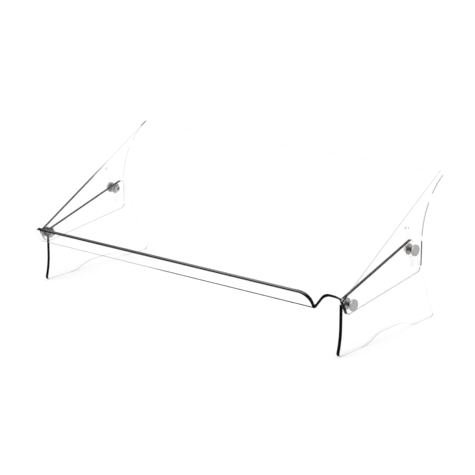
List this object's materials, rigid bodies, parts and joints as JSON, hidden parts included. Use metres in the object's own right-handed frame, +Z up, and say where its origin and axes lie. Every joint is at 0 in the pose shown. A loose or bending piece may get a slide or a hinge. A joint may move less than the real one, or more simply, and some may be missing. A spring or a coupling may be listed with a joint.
{
  "type": "document slope",
  "caption": "Clear acrylic in-line document slope: a bent tray with a front lip, tilting on two leg plates and locked by metal thumb screws.",
  "frame": {"origin": "on the desk, under the middle of the part's bounding box", "axes": "+X across the tray to the right as seen by the reader, +Y away from the reader to the raised rear edge, +Z up"},
  "size_m": [0.5422, 0.2508, 0.1983],
  "materials": {
    "clear_acrylic": "polished clear sheet with flame-polished dark-looking edges",
    "brushed_aluminium": "satin, fine turned",
    "zinc_plated_steel": "bright zinc, threaded",
    "black_nylon": "matte",
    "satin_steel": "satin",
    "nickel_plated_brass": "nickel plated"
  },
  "bodies": {
    "base": {"leg_left": "clear_acrylic", "leg_right": "clear_acrylic", "spacer_disc_front_left": "satin_steel", "threaded_insert_front_left": "nickel_plated_brass", "spacer_disc_rear_left": "satin_steel", "threaded_insert_rear_left": "nickel_plated_brass", "spacer_disc_front_right": "satin_steel", "threaded_insert_front_right": "nickel_plated_brass", "spacer_disc_rear_right": "satin_steel", "threaded_insert_rear_right": "nickel_plated_brass"},
    "tray": {"tray": "clear_acrylic"},
    "collar_front_left": {"screw_collar_front_left": "black_nylon"},
    "screw_front_left": {"screw_head_front_left": "brushed_aluminium", "screw_stud_front_left": "zinc_plated_steel"},
    "collar_rear_left": {"screw_collar_rear_left": "black_nylon"},
    "screw_rear_left": {"screw_head_rear_left": "brushed_aluminium", "screw_stud_rear_left": "zinc_plated_steel"},
    "collar_front_right": {"screw_collar_front_right": "black_nylon"},
    "screw_front_right": {"screw_head_front_right": "brushed_aluminium", "screw_stud_front_right": "zinc_plated_steel"},
    "collar_rear_right": {"screw_collar_rear_right": "black_nylon"},
    "screw_rear_right": {"screw_head_rear_right": "brushed_aluminium", "screw_stud_rear_right": "zinc_plated_steel"}
  },
  "joints": [
    {"name": "tray_tilt", "type": "hinge", "parent": "base", "child": "tray", "pos_m": [0, -0.07918, 0.0665], "axis": [1, 0, 0], "range_deg": [-13.2, 8.8]},
    {"name": "screw_front_left_backoff", "type": "slide", "parent": "base", "child": "collar_front_left", "axis": [-1, 0, 0], "range_m": [0, 0.0016]},
    {"name": "screw_front_left_turn", "type": "hinge", "parent": "collar_front_left", "child": "screw_front_left", "pos_m": [-0.265, -0.07918, 0.0665], "axis": [-1, 0, 0], "range_deg": [0, 720]},
    {"name": "screw_rear_left_backoff", "type": "slide", "parent": "base", "child": "collar_rear_left", "axis": [-1, 0, 0], "range_m": [0, 0.0016]},
    {"name": "screw_rear_left_turn", "type": "hinge", "parent": "collar_rear_left", "child": "screw_rear_left", "pos_m": [-0.265, 0.05475, 0.10694], "axis": [-1, 0, 0], "range_deg": [0, 720]},
    {"name": "screw_front_right_backoff", "type": "slide", "parent": "base", "child": "collar_front_right", "axis": [1, 0, 0], "range_m": [0, 0.0016]},
    {"name": "screw_front_right_turn", "type": "hinge", "parent": "collar_front_right", "child": "screw_front_right", "pos_m": [0.265, -0.07918, 0.0665], "axis": [1, 0, 0], "range_deg": [0, 720]},
    {"name": "screw_rear_right_backoff", "type": "slide", "parent": "base", "child": "collar_rear_right", "axis": [1, 0, 0], "range_m": [0, 0.0016]},
    {"name": "screw_rear_right_turn", "type": "hinge", "parent": "collar_rear_right", "child": "screw_rear_right", "pos_m": [0.265, 0.05475, 0.10694], "axis": [1, 0, 0], "range_deg": [0, 720]}
  ],
  "couplings": [
    {"joint": "screw_front_left_turn", "follows": "screw_front_left_backoff", "rad_per_m": 7854},
    {"joint": "screw_rear_left_turn", "follows": "screw_rear_left_backoff", "rad_per_m": 7854},
    {"joint": "screw_front_right_turn", "follows": "screw_front_right_backoff", "rad_per_m": 7854},
    {"joint": "screw_rear_right_turn", "follows": "screw_rear_right_backoff", "rad_per_m": 7854}
  ]
}
